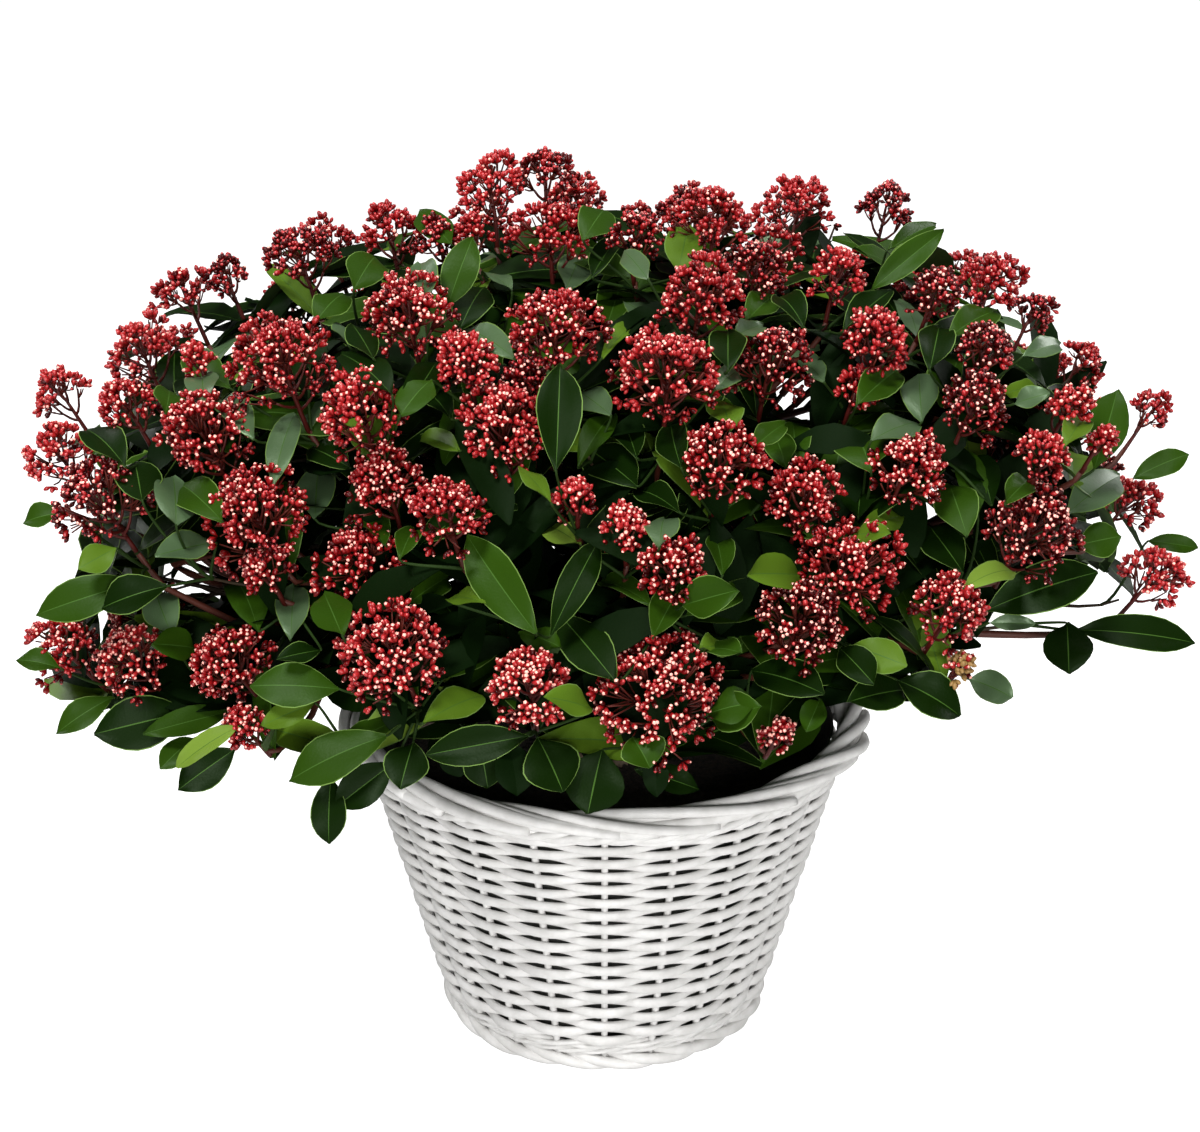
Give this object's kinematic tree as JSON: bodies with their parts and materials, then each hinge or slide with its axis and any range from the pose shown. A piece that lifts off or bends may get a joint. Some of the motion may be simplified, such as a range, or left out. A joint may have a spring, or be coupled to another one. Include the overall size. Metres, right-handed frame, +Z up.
{
  "type": "potted skimmia shrub",
  "caption": "Round evergreen shrub with dark glossy leaves and dense heads of small red buds, growing in a round tapered basket of white wicker.",
  "frame": {"origin": "centre of the basket's flat underside, on the ground", "axes": "+Z up along the basket's axis, front towards -Y, +X to the right seen from the front"},
  "size_m": [0.7398, 0.5896, 0.5916],
  "materials": {
    "wicker": "satin",
    "liner": "satin",
    "soil": "matte",
    "bark": "matte",
    "foliage": "satin"
  },
  "bodies": {
    "root": {"basket_wall": "wicker", "basket_foot": "wicker", "basket_floor": "wicker", "basket_rim": "wicker", "liner": "liner", "root_ball": "soil", "trunk": "bark", "bough_1": "bark", "bough_2": "bark", "bough_3": "bark", "bough_4": "bark", "bough_5": "bark", "bough_6": "bark", "bough_7": "bark", "bough_8": "bark", "bough_9": "bark", "bough_10": "bark", "bough_11": "bark", "bough_12": "bark", "mass_skirt_1": "foliage", "mass_skirt_2": "foliage", "mass_skirt_3": "foliage", "mass_skirt_4": "foliage", "mass_skirt_5": "foliage", "mass_skirt_6": "foliage", "mass_skirt_7": "foliage", "mass_skirt_8": "foliage", "mass_skirt_9": "foliage", "mass_skirt_10": "foliage", "mass_shoulder_1": "foliage", "mass_shoulder_2": "foliage", "mass_shoulder_3": "foliage", "mass_shoulder_4": "foliage", "mass_shoulder_5": "foliage", "mass_shoulder_6": "foliage", "mass_shoulder_7": "foliage", "mass_shoulder_8": "foliage", "mass_shoulder_9": "foliage", "mass_upper_1": "foliage", "mass_upper_2": "foliage", "mass_upper_3": "foliage", "mass_upper_4": "foliage", "mass_upper_5": "foliage", "mass_upper_6": "foliage", "mass_top_1": "foliage", "mass_top_2": "foliage"}
  },
  "joints": []
}
